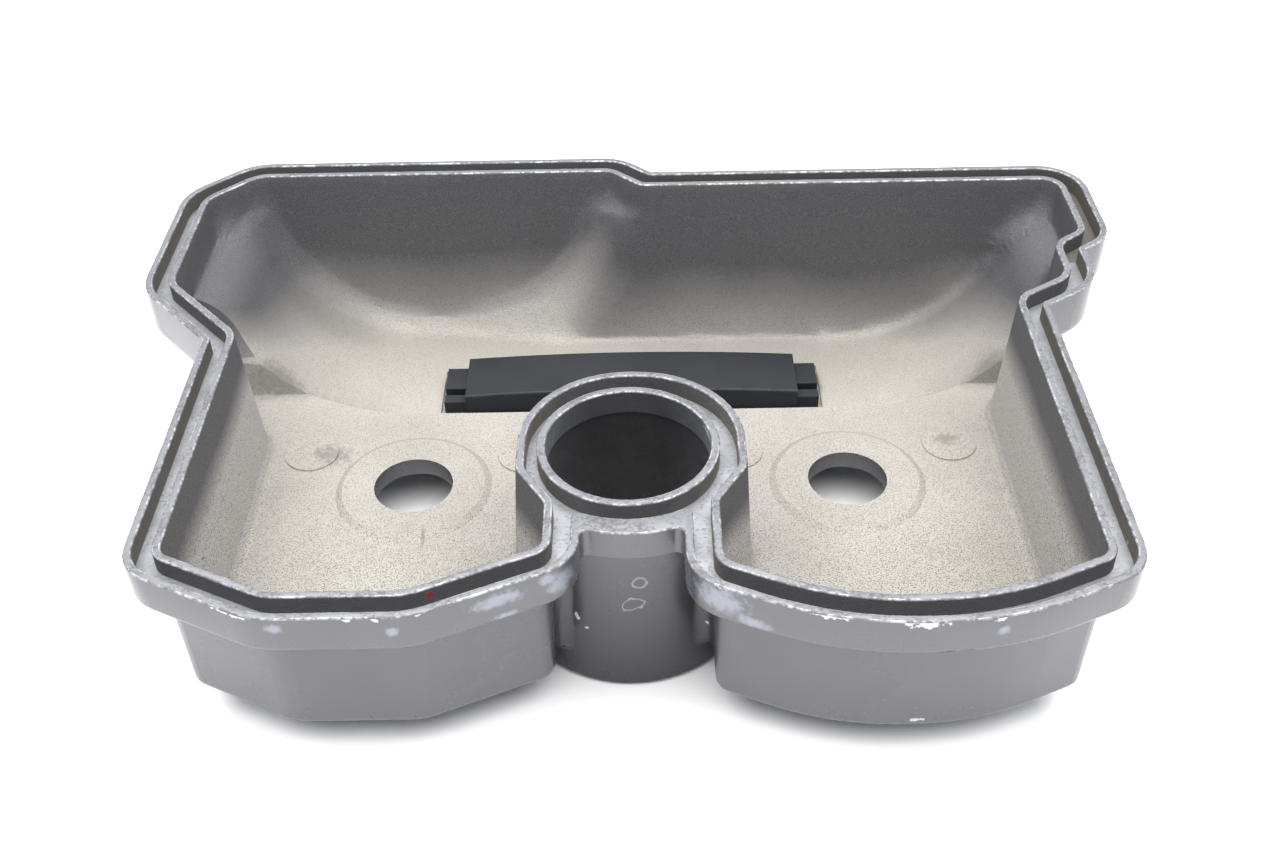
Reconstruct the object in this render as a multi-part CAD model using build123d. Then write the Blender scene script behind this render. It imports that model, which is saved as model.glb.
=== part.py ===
from build123d import *
import math
import os

# Die-cast valve cover of a twin-cam single-cylinder engine, with its upper cam chain guide.
# Millimetres. The cover lies crown down: the sealing face is the plane z = 0 and faces +Z,
# the crown points to -Z, and the origin is on the axis of the spark plug well. X runs from
# one camshaft to the other, and +Y points to the cam chain side.

# --- mouth of the cavity, on the sealing plane ---
side_left = -68.0
side_right = 68.8
wing_left = -82.7
wing_right = 85.4
rear_left = 85.3
rear_right = 79.4
wing_start_left = 31.6
wing_full_left = 47.8
wing_start_right = 38.8
wing_full_right = 45.6
wing_jog_right = 5.9
wing_jog_start = 56.2
wing_jog_end = 60.5
wing_jog_radius = 3.0
wing_chamfer_left = 8.4
rear_step_middle = -0.4
rear_step_length = 6.2
lobe_front_left = -30.9
lobe_front_right = -33.3
lobe_middle_left = -41.3
lobe_middle_right = 40.9
lobe_flat_left = 19.5
lobe_flat_right = 22.0
lobe_corner_left = -22.6
lobe_corner_right = -25.8
neck_left = -12.6
neck_right = 13.6
neck_back = -13.3
tower_front = -5.6
tower_corner_allowance = 0.6
lobe_nose_radius_left = 8.0
lobe_nose_radius_right = 46.0
corner_radius = 2.5
tower_radius = 4.0
wing_radius = 5.5
rear_radius = 3.5

# --- lips and gasket groove ---
inner_lip_width = 1.3
groove_width = 2.8
outer_lip_width = 1.3
groove_depth = 3.2
flange_depth = 7.0
notch_flange_depth = 5.0
flange_edge_radius = 1.2
flange_corner_radius = 1.2
groove_corner_radius = 1.1

# --- spark plug well ---
well_radius = 13.0
well_lip_width = 1.4
well_seat_depth = 4.3
well_cast_step = 0.4
well_draft = 1.5
well_land_width = 3.3
well_groove_left = 1.7
well_groove_right = 2.7
tube_draft = 2.5
tube_reach = 6.8
tube_chamfer = 0.8
tube_root_radius = 2.2

# --- walls ---
wall = 2.7
inner_draft = 3.7
outer_draft = 1.5
floor_depth = 26.0
floor_radius = 1.8
room_end = 47.0
room_end_lean = 20.0
crown_radius = 1.6
crown_end_radius = 1.4

# --- sprocket chamber ---
cam_left = -40.0
cam_right = 42.5
cam_height = 1.0
chamber_radius = 37.3
chamber_front = 49.0
chamber_ramp = 10.5
chamber_ramp_angle = 50.0
shoulder_radius = 12.0
barrel_edge_radius = 3.0
shelf_depth = 7.5
shelf_radius = 2.4
wing_skirt_depth = 10.2
wing_skirt_radius = 2.6
pocket_step = 2.9
pocket_flare = 8.7
pocket_lead = 2.9
pocket_back = 2.1

# --- cover bolts ---
bolt_x = 38.6
bolt_y = 19.3
bolt_hole_radius = 7.0
bolt_pad_width = 6.9
bolt_pad_flank = 1.2
bolt_pad_height = 0.7
bolt_seat_width = 3.6
bolt_boss_wall = 3.6
bolt_boss_height = 3.2

# --- ejector pin marks, which stand up from the floor ---
ejector_radius = 4.9
ejector_height = 0.3
ejector_outer_x = 58.4
ejector_outer_y = 29.2
ejector_inner_x = 19.2
ejector_inner_y = 27.8

# --- cam chain guide ---
guide_x = 0.2
guide_setback = 10.8
guide_length = 66.4
guide_width = 12.8
guide_end_height = 4.0
guide_crown = 1.1
guide_edge_radius = 0.5
guide_tab_length = 4.4
guide_tab_height = 2.5
guide_tab_front_inset = 0.8
guide_tab_back_inset = 1.6
guide_slot_width = 1.2
guide_hook_width = 2.4
guide_hook_drop = 0.6
guide_recess_depth = 0.8
guide_clearance = 0.8

# --- sizes that follow from the ones above ---
deep = 60.0
overlap = 0.5
touch = 0.05
lip_reach = inner_lip_width + groove_width + outer_lip_width
well_lip_radius = well_radius + well_lip_width
well_groove_radius = well_lip_radius + groove_width
well_cast_radius = well_radius + well_cast_step
tube_radius = well_groove_radius + well_land_width
tube_depth = floor_depth + wall + tube_reach
tower_left = -(well_lip_radius + well_groove_left + inner_lip_width)
tower_right = well_lip_radius + well_groove_right + inner_lip_width
tower_back = well_groove_radius + inner_lip_width
tower_back_radius = (tower_right - tower_left) / 2 - tower_corner_allowance
pocket_radius = chamber_radius - pocket_step
pocket_flare_radius = chamber_radius + pocket_flare
pocket_front = rear_right - pocket_lead
pocket_flare_end = rear_left - pocket_back
bolt_pad_radius = bolt_hole_radius + bolt_pad_width
bolt_seat_radius = bolt_hole_radius + bolt_seat_width
bolt_boss_radius = bolt_seat_radius + bolt_boss_wall
chamber_floor = cam_height - chamber_radius
guide_y = chamber_front + guide_setback
guide_bottom = chamber_floor - guide_recess_depth


def clean_outline(corners):
    """Flat face on the sealing plane from (x, y, corner radius) rows, going counter-clockwise.
    Growing and shrinking it again turns its edges into plain lines and arcs."""
    points = [(x, y) for x, y, _ in corners]
    radii = [radius for _, _, radius in corners]
    face = make_face(FilletPolyline(*points, radius=radii, close=True))
    return offset(offset(face, inner_lip_width), -inner_lip_width)


def chain_side_corners():
    """Rows of the wider chain side, from the right wing round the stepped back to the left."""
    return [
        (side_right, wing_start_right, wing_radius),
        (wing_right - wing_jog_right, wing_full_right, wing_radius),
        (wing_right - wing_jog_right, wing_jog_start, wing_radius),
        (wing_right, wing_jog_end, wing_jog_radius),
        (wing_right, rear_right, rear_radius),
        (rear_step_middle + rear_step_length / 2, rear_right, rear_radius),
        (rear_step_middle - rear_step_length / 2, rear_left, rear_radius),
        (wing_left + wing_chamfer_left, rear_left, wing_radius),
        (wing_left, rear_left - wing_chamfer_left, wing_radius),
        (wing_left, wing_full_left, wing_radius),
        (side_left, wing_start_left, wing_radius),
    ]


def cavity_mouth():
    """Outline of the cavity at the sealing plane: two camshaft lobes, the neck of the plug
    tower between them, and the wider chain side with its stepped back edge."""
    return clean_outline([
        (side_left, lobe_corner_left, corner_radius),
        (lobe_middle_left - lobe_flat_left / 2, lobe_front_left, lobe_nose_radius_left),
        (lobe_middle_left + lobe_flat_left / 2, lobe_front_left, lobe_nose_radius_left),
        (neck_left, lobe_corner_left, corner_radius),
        (neck_left, neck_back, corner_radius),
        (tower_left, tower_front, tower_radius),
        (tower_left, tower_back, tower_back_radius),
        (tower_right, tower_back, tower_back_radius),
        (tower_right, tower_front, tower_radius),
        (neck_right, neck_back, corner_radius),
        (neck_right, lobe_corner_right, corner_radius),
        (lobe_middle_right - lobe_flat_right / 2, lobe_front_right, lobe_nose_radius_right),
        (lobe_middle_right + lobe_flat_right / 2, lobe_front_right, lobe_nose_radius_right),
        (side_right, lobe_corner_right, corner_radius),
    ] + chain_side_corners())


def chain_side_mouth():
    """Outline of the deep chamber at the sealing plane, which has the chain side's own edges."""
    start = chamber_front - 2 * chamber_ramp
    return clean_outline([
        (side_left, start, rear_radius),
        (side_right, start, rear_radius),
    ] + chain_side_corners())


def drafted_prism(face, depth, draft):
    """Prism that hangs down from the sealing plane and narrows towards its bottom."""
    return mirror(extrude(face, amount=depth, taper=draft), about=Plane.XY)


def round_bottom(body, radius):
    """Body with the edges of its lowest face rounded."""
    return fillet(body.edges().group_by(Axis.Z)[0], radius)


def slab(top, bottom, y_from=-deep, y_to=2 * deep):
    """Wide block between two heights, used to keep one storey or one end of a form."""
    return Pos(0, (y_from + y_to) / 2, (top + bottom) / 2) * Box(
        6 * deep, y_to - y_from, top - bottom
    )


def camshaft_end(end):
    """Everything in front of the leaning wall that ends the camshaft room over the chamber."""
    return Pos(0, end, -floor_depth) * Rot(-room_end_lean, 0, 0) * slab(2 * deep, -deep, -3 * deep, 0)


def soften(face, circle_radius, radius):
    """Face with the corners rounded where the front of its circle about the well meets it."""
    corners = [
        corner for corner in face.vertices()
        if corner.Y < 0 and abs(math.hypot(corner.X, corner.Y) - circle_radius) < touch
    ]
    return fillet(corners, radius)


def disc(x, y, radius, bottom, top):
    """Upright cylinder between two heights."""
    return Pos(x, y, (bottom + top) / 2) * Cylinder(radius, top - bottom)


def along_y(face, y_from, y_to):
    """Prism of an X-Z section (drawn with Z up the page) from one Y to another."""
    section = Plane((0, y_to, 0), x_dir=(1, 0, 0), z_dir=(0, -1, 0)) * face
    return extrude(section, amount=y_to - y_from)


def y_cone(x, z, radius_front, radius_back, y_front, y_back):
    """Cone or cylinder whose axis runs along Y."""
    height = y_back - y_front
    if radius_front == radius_back:
        body = Cylinder(radius_front, height)
    else:
        body = Cone(radius_front, radius_back, height)
    return Pos(x, (y_front + y_back) / 2, z) * Rot(-90, 0, 0) * body


def chamber_section(radius):
    """Section of the sprocket chamber: two sprocket arcs joined by a flat over the chain."""
    arcs = Pos(cam_left, cam_height) * Circle(radius) + Pos(cam_right, cam_height) * Circle(radius)
    flat_width = cam_right - cam_left
    flat = Pos((cam_left + cam_right) / 2, cam_height - radius / 2) * Rectangle(flat_width, radius)
    return arcs + flat


def shoulder(side, radius):
    """Rounded edge between the shelf and the outer flank of one sprocket arc."""
    cam = cam_left if side < 0 else cam_right
    height = -(shelf_depth + shoulder_radius)
    reach = math.sqrt((chamber_radius + shoulder_radius) ** 2 - (cam_height - height) ** 2)
    middle = cam + side * reach
    corners = [(cam, cam_height), (middle, height), (middle, cam_height)]
    rounding = shoulder_radius + chamber_radius - radius
    return make_face(Polyline(*corners[::side], close=True)) - Pos(middle, height) * Circle(rounding)


def chamber_form(radius, front, back):
    """Chamber shape, or the barrel around it, with the ramp up to the camshaft floor."""
    section = chamber_section(radius)
    start = Plane((0, front, 0), x_dir=(1, 0, 0), z_dir=(0, -1, 0)) * section
    ramp = extrude(start, amount=chamber_ramp, taper=chamber_ramp_angle)
    section = section + shoulder(-1, radius) + shoulder(1, radius)
    return along_y(section, front, back) + ramp


def sprocket_chamber():
    """Deep chamber over the sprockets and chain. On the left a shallower pocket flares out of
    its back."""
    right_wall = drafted_prism(Pos(0, rear_right - deep) * Rectangle(6 * deep, 2 * deep),
                               deep, inner_draft)
    main = chamber_form(chamber_radius, chamber_front, rear_left) & right_wall
    flare = y_cone(cam_left, cam_height, pocket_flare_radius, pocket_radius,
                   pocket_front, pocket_flare_end)
    flare = flare & along_y(chamber_section(chamber_radius), pocket_front, pocket_flare_end)
    pocket = y_cone(cam_left, cam_height, pocket_radius, pocket_radius,
                    pocket_flare_end - overlap, rear_left + wall)
    return main + flare + pocket


def cavity_rooms(mouth):
    """Everything that is hollow inside the lips, apart from the groove and the bores."""
    room = round_bottom(drafted_prism(mouth, floor_depth, inner_draft), floor_radius)
    camshaft_room = room & camshaft_end(room_end)
    shelf_room = round_bottom(drafted_prism(mouth, shelf_depth, inner_draft), shelf_radius)
    shelf = shelf_room & slab(deep, -deep, room_end - overlap, 2 * deep)
    chamber = drafted_prism(chain_side_mouth(), chamber_radius, inner_draft) & sprocket_chamber()
    return [camshaft_room, shelf, chamber]


def rounded_barrel(walls):
    """Outside of the sprocket chamber, its back edges rounded."""
    front = chamber_front - wall * math.tan(math.radians(chamber_ramp_angle / 2))
    form = chamber_form(chamber_radius + wall, front, rear_left + 2 * wall) & slab(0.0, -deep)
    barrel = drafted_prism(walls, deep, outer_draft) & form
    back = [
        edge for edge in barrel.edges()
        if edge.center().Y > rear_right and edge.center().Z < -(chamber_radius - wing_skirt_depth)
    ]
    return fillet(back, barrel_edge_radius)


def camshaft_crown(walls):
    """Outside of the camshaft room, rounded where it ends over the chamber."""
    crown = round_bottom(drafted_prism(walls, floor_depth + wall, outer_draft), crown_radius)
    crown = crown & camshaft_end(room_end + wall / math.cos(math.radians(room_end_lean)))
    end = max([face for face in crown.faces() if face.center().Y > room_end], key=lambda face: face.area)
    return fillet([edge for edge in end.edges() if edge.center().Z < -flange_depth], crown_end_radius)


def tube_radius_at(height):
    """Outer radius of the plug tube at a height."""
    return tube_radius + height * math.tan(math.radians(tube_draft))


def plug_tube():
    """Tapered tube around the spark plug well."""
    tube = Pos(0, 0, -tube_depth / 2) * Cone(tube_radius_at(-tube_depth), tube_radius, tube_depth)
    return chamfer(tube.edges().filter_by(GeomType.CIRCLE).group_by(Axis.Z)[0], tube_chamfer)


def tube_roots(crown):
    """Edges where the walls of the neck meet the plug tube."""
    roots = []
    for edge in crown.edges():
        middle = edge.center()
        off_tube = abs(math.hypot(middle.X, middle.Y) - tube_radius_at(middle.Z))
        if off_tube < touch and middle.Y < neck_back and -floor_depth < middle.Z < -flange_depth:
            roots.append(edge)
    return roots


def casting_body(mouth):
    """Outside of the casting: lipped flange, drafted walls, sprocket barrel and plug tube."""
    walls = offset(mouth, inner_lip_width)
    rim = offset(mouth, lip_reach)
    lobes = rim + Circle(tube_radius - overlap)
    flange = round_bottom(extrude(lobes, amount=-flange_depth), flange_edge_radius)
    notch = soften(rim + Circle(tube_radius), tube_radius, flange_corner_radius)
    flange = flange + extrude(notch, amount=-notch_flange_depth)
    skirt = round_bottom(extrude(lobes, amount=-wing_skirt_depth), wing_skirt_radius)
    skirt = skirt & slab(deep, -deep, wing_start_left - lip_reach, 2 * deep)
    crown = camshaft_crown(walls) + plug_tube()
    crown = fillet(tube_roots(crown), tube_root_radius)
    return flange + skirt + crown + rounded_barrel(walls)


def gasket_groove(mouth):
    """Groove for the rubber gasket. It follows the lips and loops around the plug well."""
    outside = offset(mouth, inner_lip_width + groove_width) + Circle(well_groove_radius)
    outside = soften(outside, well_groove_radius, groove_corner_radius)
    plan = outside - offset(mouth, inner_lip_width) - Circle(well_lip_radius)
    return extrude(plan, amount=-groove_depth)


def plug_well():
    """Machined seat at the sealing face and the drafted cast bore below it."""
    seat = disc(0, 0, well_radius, -well_seat_depth, overlap)
    length = tube_depth - well_seat_depth + overlap
    end_radius = well_cast_radius + length * math.tan(math.radians(well_draft))
    bore = Pos(0, 0, -well_seat_depth - length / 2) * Cone(end_radius, well_cast_radius, length)
    return seat + bore


def bolt_holes(side):
    """Pads, bosses and holes of one cover bolt: what to add and what to cut."""
    floor = -floor_depth
    outside = -(floor_depth + wall)
    boss_end = outside - bolt_boss_height
    x = side * bolt_x
    pad = Pos(x, bolt_y, floor + bolt_pad_height / 2) * Cone(
        bolt_pad_radius, bolt_pad_radius - bolt_pad_flank, bolt_pad_height
    )
    boss = disc(x, bolt_y, bolt_boss_radius, boss_end, outside + overlap)
    hole = disc(x, bolt_y, bolt_hole_radius, boss_end - overlap, floor + 2 * bolt_pad_height)
    seat = disc(x, bolt_y, bolt_seat_radius, boss_end - overlap, outside)
    return pad + boss, hole + seat


def ejector_marks():
    """Round marks that the die's ejector pins leave on the camshaft floor."""
    places = [(ejector_outer_x, ejector_outer_y), (ejector_inner_x, ejector_inner_y)]
    return [
        disc(side * x, y, ejector_radius, -floor_depth - overlap, -floor_depth + ejector_height)
        for side in (-1, 1)
        for x, y in places
    ]


def guide_recess():
    """Shallow pocket in the chamber floor that locates the chain guide."""
    length = guide_length + 2 * (guide_tab_length + guide_clearance)
    width = guide_width + 2 * guide_clearance
    height = guide_recess_depth + overlap
    return Pos(guide_x, guide_y, guide_bottom + height / 2) * Box(length, width, height)


def guide_block(front, back, top):
    """Block through the guide that stands out at both ends as a tab."""
    length = guide_length + 2 * guide_tab_length
    return Pos(guide_x, (front + back) / 2, (top + guide_bottom) / 2) * Box(
        length, back - front, top - guide_bottom
    )


def chain_guide():
    """Moulded rubbing block: a bar crowned along its length, with a clipped tab at each end."""
    half = guide_length / 2
    end_top = chamber_floor + guide_end_height
    profile = make_face(
        Polyline((-half, end_top), (-half, guide_bottom), (half, guide_bottom), (half, end_top))
        + ThreePointArc((half, end_top), (0, end_top + guide_crown), (-half, end_top))
    )
    front = guide_y - guide_width / 2
    back = guide_y + guide_width / 2
    bar = Pos(guide_x, 0, 0) * along_y(profile, front, back)
    bar = fillet(bar.edges().filter_by(GeomType.CIRCLE), guide_edge_radius)
    hook_front = front + guide_tab_front_inset
    hook_back = hook_front + guide_hook_width
    tab_front = hook_back + guide_slot_width
    tab_top = chamber_floor + guide_tab_height
    tab = guide_block(tab_front, back - guide_tab_back_inset, tab_top)
    hook = guide_block(hook_front, hook_back, tab_top - guide_hook_drop)
    return bar + tab + hook


def cover_casting():
    """The whole casting."""
    mouth = cavity_mouth()
    body = casting_body(mouth)
    added = ejector_marks()
    removed = [gasket_groove(mouth), plug_well(), guide_recess()]
    for side in (-1, 1):
        more, less = bolt_holes(side)
        added.append(more)
        removed.append(less)
    shell = body
    for room in cavity_rooms(mouth):
        shell = shell - room
    for form in added:
        shell = shell + form
    for form in removed:
        shell = shell - form
    return shell


os.makedirs("parts", exist_ok=True)
export_step(cover_casting(), "parts/cover_casting.step")
export_step(chain_guide(), "parts/chain_guide.step")
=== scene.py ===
import bpy
import bmesh
import math
from collections import Counter
from mathutils import Matrix, Vector
from mathutils.kdtree import KDTree


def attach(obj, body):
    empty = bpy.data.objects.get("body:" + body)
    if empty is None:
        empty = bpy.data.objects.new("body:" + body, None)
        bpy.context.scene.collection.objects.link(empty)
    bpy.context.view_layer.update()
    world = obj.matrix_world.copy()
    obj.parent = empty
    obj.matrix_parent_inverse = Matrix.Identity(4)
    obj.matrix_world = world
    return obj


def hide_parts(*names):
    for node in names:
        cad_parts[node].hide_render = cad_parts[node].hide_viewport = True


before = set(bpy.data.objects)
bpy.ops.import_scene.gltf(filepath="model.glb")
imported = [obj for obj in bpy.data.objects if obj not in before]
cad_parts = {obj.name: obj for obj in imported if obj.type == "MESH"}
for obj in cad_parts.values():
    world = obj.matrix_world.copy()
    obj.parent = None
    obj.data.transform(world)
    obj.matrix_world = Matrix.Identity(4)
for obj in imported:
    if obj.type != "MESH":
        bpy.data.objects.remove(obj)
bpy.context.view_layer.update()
print("frame loaded")

millimetre = 0.001
noiseSpan = (0.3, 0.7)  # a noise texture's values lie mostly between these


def addNode(tree, kind, place, **settings):
    node = tree.nodes.new(kind)
    node.location = place
    for key, value in settings.items():
        if key in node.inputs:
            node.inputs[key].default_value = value
        else:
            setattr(node, key, value)
    return node


def feed(tree, value, socket):
    if isinstance(value, bpy.types.NodeSocket):
        tree.links.new(value, socket)
    elif isinstance(value, (tuple, list)) and socket.type == "RGBA" and len(value) == 3:
        socket.default_value = (*value, 1.0)
    else:
        socket.default_value = value


def mixColours(tree, place, factor, first, second, blend="MIX"):
    mix = addNode(tree, "ShaderNodeMix", place, data_type="RGBA", blend_type=blend)
    for socket, value in ((mix.inputs[0], factor), (mix.inputs[6], first), (mix.inputs[7], second)):
        feed(tree, value, socket)
    return mix.outputs[2]


def calculate(tree, place, operation, first, second=None, third=None):
    node = addNode(tree, "ShaderNodeMath", place, operation=operation)
    for socket, value in zip(node.inputs, (first, second, third)):
        if value is not None:
            feed(tree, value, socket)
    return node.outputs[0]


def shiftRange(tree, place, value, fromMin, fromMax, toMin=0.0, toMax=1.0):
    node = addNode(tree, "ShaderNodeMapRange", place)
    for socket, setting in zip(node.inputs, (value, fromMin, fromMax, toMin, toMax)):
        feed(tree, setting, socket)
    return node.outputs[0]


def newGroup(name, inputs, outputs):
    group = bpy.data.node_groups.new(name, "ShaderNodeTree")
    for label, kind, value in inputs:
        socket = group.interface.new_socket(label, in_out="INPUT", socket_type=kind)
        if value is not None:
            socket.default_value = value
    for label, kind in outputs:
        group.interface.new_socket(label, in_out="OUTPUT", socket_type=kind)
    start = addNode(group, "NodeGroupInput", (-1100, 0))
    end = addNode(group, "NodeGroupOutput", (900, 0))
    return group, start, end


def useGroup(tree, group, place, **settings):
    node = addNode(tree, "ShaderNodeGroup", place, node_tree=group)
    for key, value in settings.items():
        feed(tree, value, node.inputs[key])
    return node


def newMaterial(name, metallic=0.0):
    material = bpy.data.materials.new(name)
    material.use_nodes = True
    tree = material.node_tree
    tree.nodes.clear()
    output = addNode(tree, "ShaderNodeOutputMaterial", (1200, 0))
    shader = addNode(tree, "ShaderNodeBsdfPrincipled", (900, 0), Metallic=metallic)
    tree.links.new(shader.outputs[0], output.inputs["Surface"])
    place = addNode(tree, "ShaderNodeTexCoord", (-1300, 0))
    return material, tree, shader, place.outputs["Object"]


# the blasted casting grain in one finish's own scale
def grainOf(tree, where, look):
    return useGroup(tree, castGrain, (-1000, 0), **{
        "Vector": where, "Pit Scale": look["pitScale"], "Pit Start": look["pitStart"],
        "Cloud Scale": look["cloudScale"]})


# colour, roughness and relief go to the shader in the same way for every finish of the casting
def finishSurface(tree, shader, look, colour, mottle, height):
    rough, smooth = look["roughness"]
    feed(tree, colour, shader.inputs["Base Color"])
    feed(tree, shiftRange(tree, (300, 0), mottle, 0.0, 1.0, rough, smooth), shader.inputs["Roughness"])
    dent = addNode(tree, "ShaderNodeBump", (500, -250), Strength=look["bump"], Distance=look["depth"])
    feed(tree, height, dent.inputs["Height"])
    feed(tree, dent.outputs["Normal"], shader.inputs["Normal"])


# fine dark pits, a slow cloud and the height of a blasted casting
def makeCastGrain():
    group, start, end = newGroup(
        "castGrain",
        [("Vector", "NodeSocketVector", None), ("Pit Scale", "NodeSocketFloat", 3200.0),
         ("Pit Start", "NodeSocketFloat", 0.40), ("Cloud Scale", "NodeSocketFloat", 60.0)],
        [("Pits", "NodeSocketFloat"), ("Cloud", "NodeSocketFloat"), ("Height", "NodeSocketFloat")])
    fine = addNode(group, "ShaderNodeTexNoise", (-800, 200), Detail=2.0, Roughness=0.6)
    cloud = addNode(group, "ShaderNodeTexNoise", (-800, -200), Detail=5.0, Roughness=0.6)
    for noise, scale in ((fine, "Pit Scale"), (cloud, "Cloud Scale")):
        group.links.new(start.outputs["Vector"], noise.inputs["Vector"])
        group.links.new(start.outputs[scale], noise.inputs["Scale"])
    edge = calculate(group, (-500, 350), "SUBTRACT", start.outputs["Pit Start"], 0.07)  # how soft a pit's rim is
    pits = shiftRange(group, (-300, 200), fine.outputs["Fac"], edge, start.outputs["Pit Start"], 1.0, 0.0)
    group.links.new(pits, end.inputs["Pits"])
    group.links.new(shiftRange(group, (-300, -200), cloud.outputs["Fac"], 0.32, 0.68), end.inputs["Cloud"])
    height = calculate(group, (0, 0), "SUBTRACT", fine.outputs["Fac"], pits)
    group.links.new(height, end.inputs["Height"])
    return group


# a mask that is one inside a ragged spot, given by its middle and half lengths in metres
def makeRaggedSpot():
    group, start, end = newGroup(
        "raggedSpot",
        [("Vector", "NodeSocketVector", None), ("Middle", "NodeSocketVector", None),
         ("Reach", "NodeSocketVector", None), ("Rag", "NodeSocketFloat", 0.9),
         ("Rag Scale", "NodeSocketFloat", 900.0), ("Fade", "NodeSocketFloat", 1.05)],
        [("Mask", "NodeSocketFloat")])
    noise = addNode(group, "ShaderNodeTexNoise", (-800, -250), Detail=3.0, Roughness=0.6)
    group.links.new(start.outputs["Vector"], noise.inputs["Vector"])
    group.links.new(start.outputs["Rag Scale"], noise.inputs["Scale"])
    off = addNode(group, "ShaderNodeVectorMath", (-800, 100), operation="SUBTRACT")
    group.links.new(start.outputs["Vector"], off.inputs[0])
    group.links.new(start.outputs["Middle"], off.inputs[1])
    part = addNode(group, "ShaderNodeVectorMath", (-600, 100), operation="DIVIDE")
    group.links.new(off.outputs[0], part.inputs[0])
    group.links.new(start.outputs["Reach"], part.inputs[1])
    length = addNode(group, "ShaderNodeVectorMath", (-400, 100), operation="LENGTH")
    group.links.new(part.outputs[0], length.inputs[0])
    swing = calculate(group, (-500, -250), "SUBTRACT", noise.outputs["Fac"], 0.5)
    swing = calculate(group, (-300, -250), "MULTIPLY", swing, start.outputs["Rag"])
    swing = calculate(group, (-100, -250), "MULTIPLY", swing, 4.0)  # the noise itself swings only about a quarter
    total = calculate(group, (-100, 0), "ADD", length.outputs["Value"], swing)
    mask = shiftRange(group, (200, 0), total, 0.85, start.outputs["Fade"], 1.0, 0.0)
    group.links.new(mask, end.inputs["Mask"])
    return group


# a mask that is one along a thin wavy loop around its middle
def makeWavyLoop():
    group, start, end = newGroup(
        "wavyLoop",
        [("Vector", "NodeSocketVector", None), ("Middle", "NodeSocketVector", None),
         ("Radius", "NodeSocketFloat", 0.001), ("Width", "NodeSocketFloat", 0.0002),
         ("Wave", "NodeSocketFloat", 0.001)],
        [("Mask", "NodeSocketFloat")])
    noise = addNode(group, "ShaderNodeTexNoise", (-800, -250), Scale=520.0, Detail=1.0)
    group.links.new(start.outputs["Vector"], noise.inputs["Vector"])
    gap = addNode(group, "ShaderNodeVectorMath", (-800, 100), operation="DISTANCE")
    group.links.new(start.outputs["Vector"], gap.inputs[0])
    group.links.new(start.outputs["Middle"], gap.inputs[1])
    swing = calculate(group, (-500, -250), "SUBTRACT", noise.outputs["Fac"], 0.5)
    swing = calculate(group, (-300, -250), "MULTIPLY", swing, start.outputs["Wave"])
    total = calculate(group, (-300, 50), "ADD", gap.outputs["Value"], swing)
    off = calculate(group, (-100, 50), "SUBTRACT", total, start.outputs["Radius"])
    off = calculate(group, (100, 50), "ABSOLUTE", off)
    inner = calculate(group, (100, -150), "MULTIPLY", start.outputs["Width"], 0.5)
    group.links.new(shiftRange(group, (350, 0), off, inner, start.outputs["Width"], 1.0, 0.0), end.inputs["Mask"])
    return group


castGrain = makeCastGrain()
raggedSpot = makeRaggedSpot()
wavyLoop = makeWavyLoop()


# the spots and loops of one finish, joined into one mask; a larger fade gives softer rims
def markMask(tree, where, spots, loops=(), fade=1.05):
    total = None
    for index, (middle, reach, rag) in enumerate(spots):
        node = useGroup(tree, raggedSpot, (-900, -500 - 200 * index), Vector=where, Rag=rag, Fade=fade,
                        Middle=[value * millimetre for value in middle],
                        Reach=[value * millimetre for value in reach])
        mask = node.outputs["Mask"]
        total = mask if total is None else calculate(tree, (-600, -500 - 200 * index), "MAXIMUM", total, mask)
    for index, (middle, radius, width, wave) in enumerate(loops):
        place = (-900, -500 - 200 * (len(spots) + index))
        node = useGroup(tree, wavyLoop, place, Vector=where, Radius=radius * millimetre, Width=width * millimetre,
                        Wave=wave * millimetre, Middle=[value * millimetre for value in middle])
        mask = node.outputs["Mask"]
        total = mask if total is None else calculate(tree, (-600, place[1]), "MAXIMUM", total, mask)
    return total


# lengths are in metres, a tilt is one part of the surface normal, and a pair says where a change starts and
# ends; each spot is its middle and its half lengths in millimetres, then how ragged its edge is
innerSkin = {
    "name": "innerSkin", "metallic": 0.2, "roughness": (0.68, 0.56), "bump": 0.6, "depth": 0.00004,
    "light": (0.325, 0.309, 0.280), "dull": (0.282, 0.267, 0.241),
    # steep walls take a greyer and brighter colour than the floors; the extra brightness is painted fill light
    "wall": (0.445, 0.432, 0.410), "wallTilt": (0.7, 0.2),
    "pitScale": 4300.0, "pitStart": 0.47, "cloudScale": 45.0,
    "pit": (0.07, 0.065, 0.057), "pitFade": (-0.03, 0.045), "pitLeft": 0.35,
    # where the dark overspray ends, and how much deeper painted shade reaches in the chamber, at its sides and on
    # its rear wall
    "oversprayAndShade": (0.086, 0.086, 0.093), "paintEnd": -0.0090, "shadeDropChamber": -0.0100, "shadeDropSide": -0.0110,
    "shadeDropBack": -0.0110, "paintBlend": 0.003, "blendBack": 0.003, "blendChamber": 0.006,
    "chamber": (0.042, 0.074), "sides": (0.028, 0.072), "rearTilt": (-0.85, -0.99),
    "drift": 0.35, "driftScale": 28.0,
    "freckle": (0.21, 0.205, 0.19), "freckleRange": (0.48, 0.62), "freckleStrength": 0.30,
    "sootAndShade": (0.12, 0.115, 0.10), "sootAndShadeStrength": 0.55, "sootAndShadeFade": 2.0,
    # the first two spots are painted shade in the creases where the camshaft room steps down into the troughs; the
    # others are smudges and a thin dark line on the floor
    "sootAndShadeSpots": [((-66.5, 49.0, -24.0), (5.5, 2.6, 2.6), 0.5), ((68.5, 49.3, -24.5), (4.5, 2.6, 2.4), 0.5),
              ((-54.6, 28.6, -26.0), (2.2, 1.6, 1.0), 1.0), ((57.9, 30.1, -26.0), (1.4, 1.0, 1.0), 1.0),
              ((-35.6, 6.4, -26.0), (0.25, 1.8, 0.8), 0.3)]}


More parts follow.
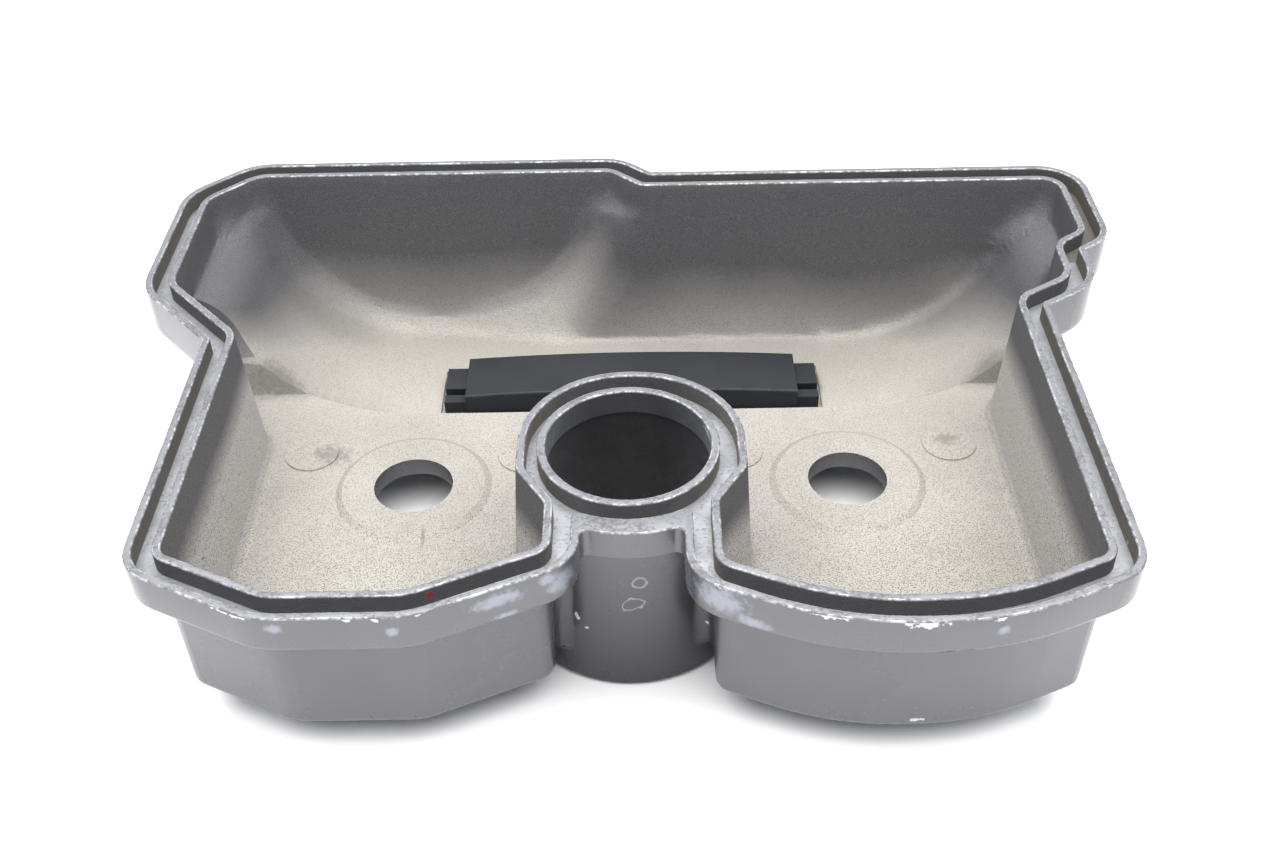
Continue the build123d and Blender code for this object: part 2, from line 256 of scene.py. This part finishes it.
def makeInnerSkin(look):
    material, tree, shader, where = newMaterial(look["name"], look["metallic"])
    grain = grainOf(tree, where, look)
    cloud = grain.outputs["Cloud"]
    axes = addNode(tree, "ShaderNodeSeparateXYZ", (-1100, 300))
    tree.links.new(where, axes.inputs[0])
    geometry = addNode(tree, "ShaderNodeNewGeometry", (-1300, 500))
    facing = addNode(tree, "ShaderNodeSeparateXYZ", (-1100, 500))
    tree.links.new(geometry.outputs["Normal"], facing.inputs[0])
    # the dark overspray ends near the rim; in the chamber, further at its sides and on walls facing the front it
    # reaches deeper as painted shade
    rearward = shiftRange(tree, (-900, 500), facing.outputs["Y"], *look["rearTilt"])
    behind = shiftRange(tree, (-900, 700), axes.outputs["Y"], *look["chamber"])
    aside = calculate(tree, (-1100, 800), "ABSOLUTE", axes.outputs["X"])
    forward = calculate(tree, (-900, 1300), "SUBTRACT", 1.0, rearward)
    lower = shiftRange(tree, (-900, 1100), aside, *look["sides"], 0.0, look["shadeDropSide"])
    lower = calculate(tree, (-700, 1100), "MULTIPLY_ADD", lower, forward, look["shadeDropChamber"])
    edge = calculate(tree, (-700, 700), "MULTIPLY_ADD", behind, lower, look["paintEnd"])
    edge = calculate(tree, (-500, 600), "MULTIPLY_ADD", rearward, look["shadeDropBack"], edge)
    blend = calculate(tree, (-700, 450), "MULTIPLY_ADD", behind, look["blendChamber"], look["paintBlend"])
    blend = calculate(tree, (-500, 450), "MULTIPLY_ADD", rearward, look["blendBack"], blend)
    above = calculate(tree, (-300, 600), "SUBTRACT", axes.outputs["Z"], edge)
    above = calculate(tree, (-100, 600), "DIVIDE", above, blend)
    slow = addNode(tree, "ShaderNodeTexNoise", (-500, 900), Scale=look["driftScale"], Detail=1.0)
    feed(tree, where, slow.inputs["Vector"])
    drift = shiftRange(tree, (-300, 800), slow.outputs["Fac"], *noiseSpan, -look["drift"], look["drift"])
    above = calculate(tree, (0, 700), "ADD", above, drift)
    oversprayAndShade = shiftRange(tree, (100, 600), above, -1.0, 1.0)
    # steep walls take a greyer, brighter colour: the brightness is painted fill light on faces the lamp barely
    # reaches
    upright = shiftRange(tree, (-900, 900), facing.outputs["Z"], *look["wallTilt"])
    bare = mixColours(tree, (-700, 200), cloud, look["dull"], look["light"])
    bare = mixColours(tree, (-500, 200), upright, bare, look["wall"])
    base = mixColours(tree, (-300, 200), oversprayAndShade, bare, look["oversprayAndShade"])
    # the pits fade towards the rear, and only the overspray and its painted shade have freckles
    strength = shiftRange(tree, (-800, 350), axes.outputs["Y"], *look["pitFade"], 1.0, look["pitLeft"])
    pits = calculate(tree, (-400, 0), "MULTIPLY", grain.outputs["Pits"], strength)
    freckles = shiftRange(tree, (-500, -200), grain.outputs["Height"], *look["freckleRange"], 0.0,
                          look["freckleStrength"])
    freckles = calculate(tree, (-300, -200), "MULTIPLY", freckles, oversprayAndShade)
    base = mixColours(tree, (-200, 400), freckles, base, look["freckle"])
    colour = mixColours(tree, (-100, 200), pits, base, look["pit"])
    # painted shade in the two creases, and the smudges, darken the colour
    sootAndShade = calculate(tree, (-100, 0), "MULTIPLY", markMask(tree, where, look["sootAndShadeSpots"], fade=look["sootAndShadeFade"]),
                     look["sootAndShadeStrength"])
    colour = mixColours(tree, (100, 200), sootAndShade, colour, look["sootAndShade"])
    finishSurface(tree, shader, look, colour, cloud, grain.outputs["Height"])
    return material


outerSkin = {
    "name": "outerSkin", "metallic": 0.15, "roughness": (0.32, 0.22), "shine": 0.9, "bump": 0.15, "depth": 0.00003,
    "light": (0.081, 0.082, 0.092), "dull": (0.069, 0.070, 0.078),
    "pitScale": 700.0, "pitStart": 0.0, "cloudScale": 40.0,
    # painted shade on the plug tube, which sits recessed between the lobes: it starts at a line below the flange
    # and grows downwards
    "paintedTubeShade": (0.008, 0.008, 0.011), "shadeTop": -0.0051, "shadeLine": 0.0003, "shadeBottom": -0.034,
    "shadeStart": 0.50, "shadeReach": (0.0205, 0.0275),
    # bare metal at the flange's upper edge, in spots, and in thin loops on the tube
    "chip": (0.48, 0.49, 0.52), "chipScale": 330.0, "chipLimits": (0.80, 0.64), "edgeHeight": -0.0002,
    "edgeReach": -0.0012, "trace": 0.3,
    "spots": [((-53.0, -34.4, -0.2), (4.6, 1.6, 0.55), 0.9), ((-38.9, -36.1, -0.3), (0.7, 0.9, 0.5), 0.5),
              ((-35.1, -36.2, -0.3), (0.7, 0.9, 0.6), 0.5), ((-29.1, -35.4, -0.2), (0.6, 0.9, 0.4), 0.4),
              ((28.1, -37.3, -0.2), (2.3, 1.4, 0.55), 0.9), ((40.8, -38.7, -0.3), (2.6, 1.6, 0.8), 0.9),
              ((50.8, -37.6, -0.3), (0.8, 1.4, 0.5), 0.6), ((-8.4, -17.9, -20.2), (0.35, 1.2, 0.75), 0.7),
              ((-6.9, -18.5, -22.3), (0.5, 1.2, 0.35), 0.7), ((12.0, -16.3, -22.7), (0.5, 1.2, 0.5), 0.4),
              ((42.9, -33.9, -26.6), (1.1, 0.9, 0.35), 0.7)],
    "loops": [((1.5, -20.1, -10.8), 1.15, 0.22, 0.8), ((0.4, -20.2, -15.7), 1.5, 0.2, 2.4)],
    # pale patches
    "film": (0.33, 0.36, 0.43), "filmStrength": 0.5, "filmFade": 2.1,
    "films": [((-9.8, -26.6, -3.4), (1.4, 1.6, 1.1), 0.7), ((-11.2, -28.2, -1.6), (0.9, 1.2, 0.6), 0.7),
              ((-18.6, -31.0, -2.4), (2.2, 2.0, 0.8), 0.8), ((-17.6, -30.8, -6.0), (0.9, 1.4, 0.45), 0.7),
              ((12.6, -31.2, -2.8), (2.4, 2.4, 1.3), 0.8), ((17.4, -33.3, -5.2), (1.6, 1.6, 0.6), 0.8),
              ((-49.2, -36.2, -1.9), (0.7, 0.9, 0.5), 0.6), ((-32.8, -36.2, -2.9), (0.5, 0.9, 0.5), 0.6),
              ((51.6, -37.7, -2.9), (0.5, 0.9, 0.5), 0.6)]}


def makeOuterSkin(look):
    material, tree, shader, where = newMaterial(look["name"], look["metallic"])
    grain = grainOf(tree, where, look)
    cloud = grain.outputs["Cloud"]
    axes = addNode(tree, "ShaderNodeSeparateXYZ", (-1000, 300))
    tree.links.new(where, axes.inputs[0])
    base = mixColours(tree, (-400, 200), cloud, look["dull"], look["light"])
    # painted shade: the tube is dark all round, and darker towards its foot
    aside = addNode(tree, "ShaderNodeVectorMath", (-1000, 900), operation="MULTIPLY")
    feed(tree, where, aside.inputs[0])
    aside.inputs[1].default_value = (1.0, 1.0, 0.0)
    away = addNode(tree, "ShaderNodeVectorMath", (-800, 900), operation="LENGTH")
    feed(tree, aside.outputs[0], away.inputs[0])
    onTube = shiftRange(tree, (-600, 900), away.outputs["Value"], *look["shadeReach"], 1.0, 0.0)
    below = shiftRange(tree, (-800, 1050), axes.outputs["Z"], look["shadeTop"], look["shadeTop"] - look["shadeLine"])
    tubeShade = shiftRange(tree, (-800, 750), axes.outputs["Z"], look["shadeTop"], look["shadeBottom"],
                      look["shadeStart"], 1.0)
    tubeShade = calculate(tree, (-400, 900), "MULTIPLY", tubeShade, onTube)
    tubeShade = calculate(tree, (-300, 1000), "MULTIPLY", tubeShade, below)
    base = mixColours(tree, (-250, 300), tubeShade, base, look["paintedTubeShade"])
    # paint is chipped only along the flange's upper edge, more so the nearer to it
    nick = addNode(tree, "ShaderNodeTexNoise", (-1000, 600), Scale=look["chipScale"], Detail=5.0, Roughness=0.65)
    feed(tree, where, nick.inputs["Vector"])
    reach = shiftRange(tree, (-800, 400), axes.outputs["Z"], look["edgeReach"], look["edgeHeight"],
                       *look["chipLimits"])
    chips = calculate(tree, (-600, 500), "GREATER_THAN", nick.outputs["Fac"], reach)
    near = calculate(tree, (-600, 650), "GREATER_THAN", axes.outputs["Z"], look["edgeReach"])
    chips = calculate(tree, (-400, 500), "MULTIPLY", chips, near)
    # pale patches first, then spots of bare metal and the thin loops on the tube
    film = calculate(tree, (-200, 800), "MULTIPLY", markMask(tree, where, look["films"], fade=look["filmFade"]),
                     look["filmStrength"])
    base = mixColours(tree, (-50, 300), film, base, look["film"])
    worn = calculate(tree, (-200, 400), "MAXIMUM", chips, markMask(tree, where, look["spots"]))
    trace = calculate(tree, (-200, 600), "MULTIPLY", markMask(tree, where, [], look["loops"]), look["trace"])
    worn = calculate(tree, (0, 500), "MAXIMUM", worn, trace)
    colour = mixColours(tree, (100, 200), worn, base, look["chip"])
    shader.inputs["Specular IOR Level"].default_value = look["shine"]
    finishSurface(tree, shader, look, colour, cloud, grain.outputs["Height"])
    return material


# walls that face the front take a painted shade colour, and the spots are crusts
frontTilt = (-0.2, -0.9)
grooveSkin = {
    "name": "grooveSkin", "metallic": 0.2, "roughness": (0.68, 0.54), "bump": 0.8, "depth": 0.00008,
    "light": (0.200, 0.182, 0.138), "dull": (0.105, 0.096, 0.076), "shade": (0.075, 0.075, 0.078),
    "pitScale": 2600.0, "pitStart": 0.42, "cloudScale": 160.0,
    "stained": (0.105, 0.099, 0.083), "stain": (0.023, 0.036),  # away from the plug well
    "speck": (0.30, 0.015, 0.02), "specks": [((-28.0, -30.9, -1.4), (0.55, 0.5, 0.6), 0.5)],
    "crust": (0.42, 0.41, 0.385),
    "spots": [((70.8, -21.4, -2.6), (1.6, 3.6, 1.8), 0.7), ((-6.6, -19.6, -1.2), (4.2, 2.0, 3.0), 0.8)]}
boreMetal = {
    "name": "boreMetal", "metallic": 0.5, "roughness": (0.50, 0.36), "bump": 0.6, "depth": 0.00004,
    "light": (0.37, 0.38, 0.41), "dull": (0.23, 0.235, 0.25), "shade": (0.10, 0.10, 0.11),
    "pitScale": 1500.0, "pitStart": 0.42, "cloudScale": 240.0,
    "crust": (0.8, 0.8, 0.82), "spots": [((13.2, 4.0, -0.8), (1.0, 2.6, 1.0), 0.5)]}
wellSkin = {
    "name": "wellSkin", "metallic": 0.2, "roughness": (0.68, 0.54), "bump": 0.9, "depth": 0.00008,
    "light": (0.13, 0.13, 0.135), "dull": (0.06, 0.06, 0.065), "shade": (0.028, 0.028, 0.03),
    "pitScale": 1800.0, "pitStart": 0.44, "cloudScale": 260.0}


def makePlainSkin(look):
    material, tree, shader, where = newMaterial(look["name"], look["metallic"])
    grain = grainOf(tree, where, look)
    cloud = grain.outputs["Cloud"]
    base = mixColours(tree, (-400, 200), cloud, look["dull"], look["light"])
    colour = mixColours(tree, (-200, 200), grain.outputs["Pits"], base, look["dull"])
    geometry = addNode(tree, "ShaderNodeNewGeometry", (-1000, 500))
    facing = addNode(tree, "ShaderNodeSeparateXYZ", (-800, 500))
    tree.links.new(geometry.outputs["Normal"], facing.inputs[0])
    if "stained" in look:
        far = addNode(tree, "ShaderNodeVectorMath", (-800, 700), operation="LENGTH")
        feed(tree, where, far.inputs[0])
        stain = shiftRange(tree, (-600, 700), far.outputs["Value"], *look["stain"])
        colour = mixColours(tree, (-100, 400), stain, colour, look["stained"])
    # painted shade on walls that face the front
    shade = shiftRange(tree, (-600, 500), facing.outputs["Y"], *frontTilt)
    colour = mixColours(tree, (0, 200), shade, colour, look["shade"])
    if "spots" in look:
        colour = mixColours(tree, (200, 200), markMask(tree, where, look["spots"]), colour, look["crust"])
    if "specks" in look:
        colour = mixColours(tree, (400, 200), markMask(tree, where, look["specks"]), colour, look["speck"])
    finishSurface(tree, shader, look, colour, cloud, grain.outputs["Height"])
    return material


lipTops = {
    "name": "lipTops", "metallic": 0.3, "roughness": (0.65, 0.45), "bump": 0.5, "depth": 0.00005,
    "bright": (0.185, 0.19, 0.203), "grey": (0.105, 0.105, 0.112),
    "speckScale": 1500.0, "patchScale": 130.0, "mottle": (0.80, 1.04)}
lipEdges = {
    "name": "lipEdges", "metallic": 0.3, "roughness": (0.62, 0.42), "bump": 0.5, "depth": 0.00005,
    "bright": (0.41, 0.42, 0.44), "grey": (0.135, 0.135, 0.145),
    "speckScale": 1200.0, "patchScale": 210.0, "mottle": (0.94, 1.20)}


def makeLips(look):
    material, tree, shader, where = newMaterial(look["name"], look["metallic"])
    speck = addNode(tree, "ShaderNodeTexNoise", (-1000, 200), Scale=look["speckScale"], Detail=3.0, Roughness=0.65)
    patch = addNode(tree, "ShaderNodeTexNoise", (-1000, -100), Scale=look["patchScale"], Detail=4.0, Roughness=0.6)
    feed(tree, where, speck.inputs["Vector"])
    feed(tree, where, patch.inputs["Vector"])
    both = calculate(tree, (-700, 100), "ADD", speck.outputs["Fac"], patch.outputs["Fac"])
    mottle = shiftRange(tree, (-500, 100), both, *look["mottle"])
    colour = mixColours(tree, (-100, 200), mottle, look["grey"], look["bright"])
    finishSurface(tree, shader, look, colour, mottle, both)
    return material


skins = {
    "outerSkin": makeOuterSkin(outerSkin),
    "innerSkin": makeInnerSkin(innerSkin),
    "grooveSkin": makePlainSkin(grooveSkin),
    "lipTops": makeLips(lipTops),
    "lipEdges": makeLips(lipEdges),
    "boreMetal": makePlainSkin(boreMetal),
    "wellSkin": makePlainSkin(wellSkin),
}
print("materials made")


# millimetres and degrees
casting = {
    "node": "cover_casting", "weld": 0.002, "flatAngle": 0.05, "shadeAngle": 34.0,
    "lipRound": 0.26, "lipSegments": 3, "levelSlack": 0.003, "slack": 0.02,
    # where each finish lies
    "grooveBottom": -3.2, "seatBottom": -4.3, "wellReach": 15.0, "seatReach": 13.3, "tubeEnd": -35.4,
    "floorHeights": (-26.6, -25.4), "holePlaces": ((-38.6, 19.3), (38.6, 19.3)), "holeRadius": 7.0,
    "holeSlack": 0.05, "uprightTilt": 0.3, "levelTilt": 0.99,
    # the worn edges of the chain chamber
    "softTop": -3.6, "behindGuide": 68.0, "besideGuide": 40.5, "chamberStart": 54.0, "softFade": 3.0,
    "softEdge": 1.7, "softPasses": 7, "softSteps": 24, "softPull": 0.5, "softEnough": 0.3,
    # how near and how alike a corner of the solid must be to lend its normal
    "nearEnough": 0.004, "sameSide": 0.8}


def onSealingFace(face, settings):
    return all(abs(corner.co.z) < settings["levelSlack"] * millimetre for corner in face.verts)


def nearHole(face, settings):
    middle = face.calc_center_median() / millimetre
    reach = settings["holeRadius"] + settings["holeSlack"]
    upright = abs(face.normal.z) < settings["uprightTilt"]
    return upright and any(math.hypot(middle.x - x, middle.y - y) < reach for x, y in settings["holePlaces"])


# the finish of a face that its place alone decides
def finishByPlace(face, settings):
    low = min(corner.co.z for corner in face.verts) / millimetre
    middle = face.calc_center_median() / millimetre
    reach = math.hypot(middle.x, middle.y)
    slack = settings["slack"]
    if low > -settings["lipRound"] - slack:
        return "lipTops" if onSealingFace(face, settings) else "lipEdges"
    if reach < settings["seatReach"] and low > settings["seatBottom"] - slack:
        return "boreMetal"
    if reach < settings["wellReach"] and low < settings["seatBottom"] - slack and middle.z > settings["tubeEnd"]:
        return "wellSkin"
    if nearHole(face, settings):
        return "outerSkin"
    return None


# gives one finish to every face that can be reached from the first ones
def spread(region, first, finish, allowed=lambda face: True):
    waiting = list(first)
    for face in waiting:
        region[face.index] = finish
    while waiting:
        for edge in waiting.pop().edges:
            for other in edge.link_faces:
                if other.index not in region and allowed(other):
                    region[other.index] = finish
                    waiting.append(other)


# the groove is walked from its bottom and the inside from the camshaft floor
def sortSkins(mesh, settings, order):
    mesh.faces.ensure_lookup_table()
    region = {}
    for face in mesh.faces:
        finish = finishByPlace(face, settings)
        if finish:
            region[face.index] = finish
    slack = settings["slack"] * millimetre
    bottom = settings["grooveBottom"] * millimetre - slack
    level = [face for face in mesh.faces if face.index not in region and face.normal.z > settings["levelTilt"]]
    grooves = [face for face in level if abs(face.calc_center_median().z - bottom) < 2 * slack]
    spread(region, grooves, "grooveSkin", lambda face: min(corner.co.z for corner in face.verts) > bottom)
    lowest, highest = settings["floorHeights"]
    floors = [face for face in level if lowest < face.calc_center_median().z / millimetre < highest]
    spread(region, [max(floors, key=lambda face: face.calc_area())], "innerSkin")
    for face in mesh.faces:
        face.material_index = order.index(region.get(face.index, "outerSkin"))


# how freely a place may be softened: nothing beside the guide, the lips and the camshaft room
def freedom(point, settings):
    x, y, z = point / millimetre
    behindGuide = y - settings["behindGuide"]
    besideGuide = min(abs(x) - settings["besideGuide"], y - settings["chamberStart"])
    inside = min(settings["softTop"] - z, max(behindGuide, besideGuide))
    return max(0.0, min(1.0, inside / settings["softFade"]))


# the cast edges of the chain chamber are worn soft: its faces are cut small, then every corner is eased
def softenChamber(mesh, settings, inner):
    def chamberFaces():
        return [face for face in mesh.faces
                if face.material_index == inner and any(freedom(corner.co, settings) for corner in face.verts)]

    bmesh.ops.triangulate(mesh, faces=chamberFaces())
    for step in range(settings["softPasses"]):
        chamber = set(chamberFaces())
        long = [edge for edge in mesh.edges if edge.calc_length() > settings["softEdge"] * millimetre
                and not chamber.isdisjoint(edge.link_faces)]
        if not long:
            break
        bmesh.ops.subdivide_edges(mesh, edges=long, cuts=1)
        bmesh.ops.triangulate(mesh, faces=[face for face in chamberFaces() if len(face.verts) > 3])
        corners = [frozenset(face.verts) for face in mesh.faces]
        count = Counter(corners)
        folded = [face for face, key in zip(mesh.faces, corners) if count[key] > 1]  # two faces back to back
        bmesh.ops.delete(mesh, geom=folded, context="FACES")
    free = [vertex for vertex in mesh.verts
            if freedom(vertex.co, settings) and all(face.material_index == inner for face in vertex.link_faces)]
    for step in range(settings["softSteps"]):
        moves = []
        for vertex in free:
            around = [edge.other_vert(vertex).co for edge in vertex.link_edges]
            pull = sum(around, Vector()) / len(around) - vertex.co
            moves.append(pull * settings["softPull"] * freedom(vertex.co, settings))
        for vertex, move in zip(free, moves):
            vertex.co += move
        mesh.normal_update()


# the exact normals of the solid are carried over, and only new faces keep their own
def carryNormals(data, source, settings):
    known = [set() for vertex in source.vertices]
    for loop, normal in zip(source.loops, source.corner_normals):
        known[loop.vertex_index].add(tuple(round(value, 5) for value in normal.vector))
    tree = KDTree(len(source.vertices))
    for index, vertex in enumerate(source.vertices):
        tree.insert(vertex.co, index)
    tree.balance()
    near = [[Vector(normal) for _, index, _ in tree.find_range(vertex.co, settings["nearEnough"] * millimetre)
             for normal in known[index]] for vertex in data.vertices]
    own = [normal.vector.copy() for normal in data.corner_normals]
    chosen = []
    for face in data.polygons:
        for corner in face.loop_indices:
            choices = near[data.loops[corner].vertex_index]
            best = max(choices, key=lambda normal: normal.dot(face.normal), default=None)
            fits = best is not None and best.dot(face.normal) > settings["sameSide"]
            chosen.append(best if fits else own[corner])
    data.normals_split_custom_set(chosen)


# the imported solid's faces with rounded lip rims, sorted finishes and soft chamber edges
def castingMesh(source, settings):
    mesh = bmesh.new()
    mesh.from_mesh(source.data)
    bmesh.ops.remove_doubles(mesh, verts=mesh.verts, dist=settings["weld"] * millimetre)
    bmesh.ops.dissolve_limit(mesh, angle_limit=math.radians(settings["flatAngle"]), verts=mesh.verts,
                             edges=mesh.edges, use_dissolve_boundaries=False)
    flat = {face for face in mesh.faces if onSealingFace(face, settings)}
    rims = [edge for edge in mesh.edges
            if len(edge.link_faces) == 2 and sum(face in flat for face in edge.link_faces) == 1]
    bmesh.ops.bevel(mesh, geom=rims, offset=settings["lipRound"] * millimetre, offset_type="OFFSET",
                    segments=settings["lipSegments"], profile=0.5, affect="EDGES", clamp_overlap=False,
                    material=-1, loop_slide=True)
    mesh.normal_update()
    order = list(skins)
    sortSkins(mesh, settings, order)
    softenChamber(mesh, settings, order.index("innerSkin"))
    print("open edges of the casting:", sum(len(edge.link_faces) != 2 for edge in mesh.edges))
    data = bpy.data.meshes.new("coverBody")
    mesh.to_mesh(data)
    mesh.free()
    for name in order:
        data.materials.append(skins[name])
    return data


def makeCasting(settings):
    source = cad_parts[settings["node"]]
    data = castingMesh(source, settings)
    piece = bpy.data.objects.new("coverBody", data)
    bpy.context.collection.objects.link(piece)
    data.shade_smooth()
    data.set_sharp_from_angle(angle=math.radians(settings["shadeAngle"]))
    for edge in data.edges:
        if min(freedom(data.vertices[index].co, settings) for index in edge.vertices) > settings["softEnough"]:
            edge.use_edge_sharp = False
    carryNormals(data, source.data, settings)
    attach(piece, "root")
    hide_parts(settings["node"])
    return piece


coverBody = makeCasting(casting)
print("casting made")


guide = {
    "node": "chain_guide", "name": "guidePlastic", "roughness": (0.5, 0.62), "shine": 0.3,
    "fresh": (0.007, 0.0085, 0.011), "worn": (0.016, 0.0185, 0.023), "cloudScale": 90.0}


def makeGuidePlastic(look):
    material, tree, shader, where = newMaterial(look["name"])
    shader.inputs["Specular IOR Level"].default_value = look["shine"]
    cloud = addNode(tree, "ShaderNodeTexNoise", (-1000, 100), Scale=look["cloudScale"], Detail=4.0, Roughness=0.6)
    feed(tree, where, cloud.inputs["Vector"])
    colour = mixColours(tree, (0, 200), cloud.outputs["Fac"], look["fresh"], look["worn"])
    feed(tree, colour, shader.inputs["Base Color"])
    rough = shiftRange(tree, (300, 0), cloud.outputs["Fac"], *noiseSpan, *look["roughness"])
    feed(tree, rough, shader.inputs["Roughness"])
    return material


guidePlastic = makeGuidePlastic(guide)
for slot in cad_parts[guide["node"]].material_slots:
    slot.material = guidePlastic
print("guide finished")


# the cover rests on its tube's end and its rear crown, each given as y and z in millimetres; the size is in metres
table = {
    "frontTouch": (-18.15, -35.5), "rearTouch": (47.7, -39.0), "gap": 0.02, "size": 3.0,
    "colour": (0.94, 0.94, 0.94), "roughness": 0.9, "shine": 0.1}


def makeFloor(settings):
    (nearY, nearZ), (farY, farZ) = settings["frontTouch"], settings["rearTouch"]
    slope = math.atan2(farZ - nearZ, farY - nearY)
    mesh = bmesh.new()
    bmesh.ops.create_grid(mesh, x_segments=1, y_segments=1, size=settings["size"] / 2)
    turn = Matrix.Rotation(slope, 4, "X")
    touch = Vector((0, nearY, nearZ - settings["gap"])) * millimetre
    bmesh.ops.transform(mesh, matrix=Matrix.Translation(touch) @ turn, verts=mesh.verts)
    data = bpy.data.meshes.new("floor")
    mesh.to_mesh(data)
    mesh.free()
    floor = bpy.data.objects.new("floor", data)
    bpy.context.collection.objects.link(floor)
    material, tree, shader, where = newMaterial("paleTable")
    shader.inputs["Base Color"].default_value = (*settings["colour"], 1.0)
    shader.inputs["Roughness"].default_value = settings["roughness"]
    shader.inputs["Specular IOR Level"].default_value = settings["shine"]
    data.materials.append(material)


makeFloor(table)


lamp = {
    "name": "overheadSoft", "place": (0.0, -0.01, 0.80), "aim": (0.0, 0.0, -0.02), "size": 1.50, "power": 30.5,
    "colour": (1.0, 0.98, 0.95)}


def makeLamp(settings):
    data = bpy.data.lights.new(settings["name"], "AREA")
    data.shape = "DISK"
    data.size = settings["size"]
    data.energy = settings["power"]
    data.color = settings["colour"]
    light = bpy.data.objects.new(settings["name"], data)
    bpy.context.collection.objects.link(light)
    light.location = settings["place"]
    aim = Vector(settings["aim"]) - Vector(settings["place"])
    light.rotation_euler = aim.to_track_quat("-Z", "Y").to_euler()


makeLamp(lamp)


room = {"colour": (0.74, 0.81, 1.0), "strength": 0.50}


def makeRoom(settings):
    world = bpy.data.worlds.new("paleRoom")
    bpy.context.scene.world = world
    world.use_nodes = True
    background = world.node_tree.nodes["Background"]
    background.inputs["Color"].default_value = (*settings["colour"], 1.0)
    background.inputs["Strength"].default_value = settings["strength"]


makeRoom(room)


# the place is in millimetres and the lens in millimetres of focal length, with angles in degrees
view = {
    "place": (2.228, -172.087, 145.234), "pitch": 39.52, "yaw": -0.11, "roll": -1.01, "lens": 40.484,
    "sensor": 36.0, "nearest": 0.01, "farthest": 20.0}


def makeCamera(settings):
    pitch, yaw, roll = (math.radians(settings[key]) for key in ("pitch", "yaw", "roll"))
    ahead = Vector((math.sin(yaw) * math.cos(pitch), math.cos(yaw) * math.cos(pitch), -math.sin(pitch)))
    across = Vector((math.cos(yaw), -math.sin(yaw), 0.0))
    up = across.cross(ahead)
    right = math.cos(roll) * across + math.sin(roll) * up
    top = -math.sin(roll) * across + math.cos(roll) * up
    data = bpy.data.cameras.new("viewCamera")
    data.lens = settings["lens"]
    data.sensor_width = settings["sensor"]
    data.clip_start = settings["nearest"]
    data.clip_end = settings["farthest"]
    camera = bpy.data.objects.new("viewCamera", data)
    bpy.context.collection.objects.link(camera)
    turn = Matrix((right, top, -ahead)).transposed().to_4x4()
    camera.matrix_world = Matrix.Translation(Vector(settings["place"]) * millimetre) @ turn
    bpy.context.scene.camera = camera


makeCamera(view)
bpy.context.scene.view_settings.view_transform = "Standard"
print("stage made")
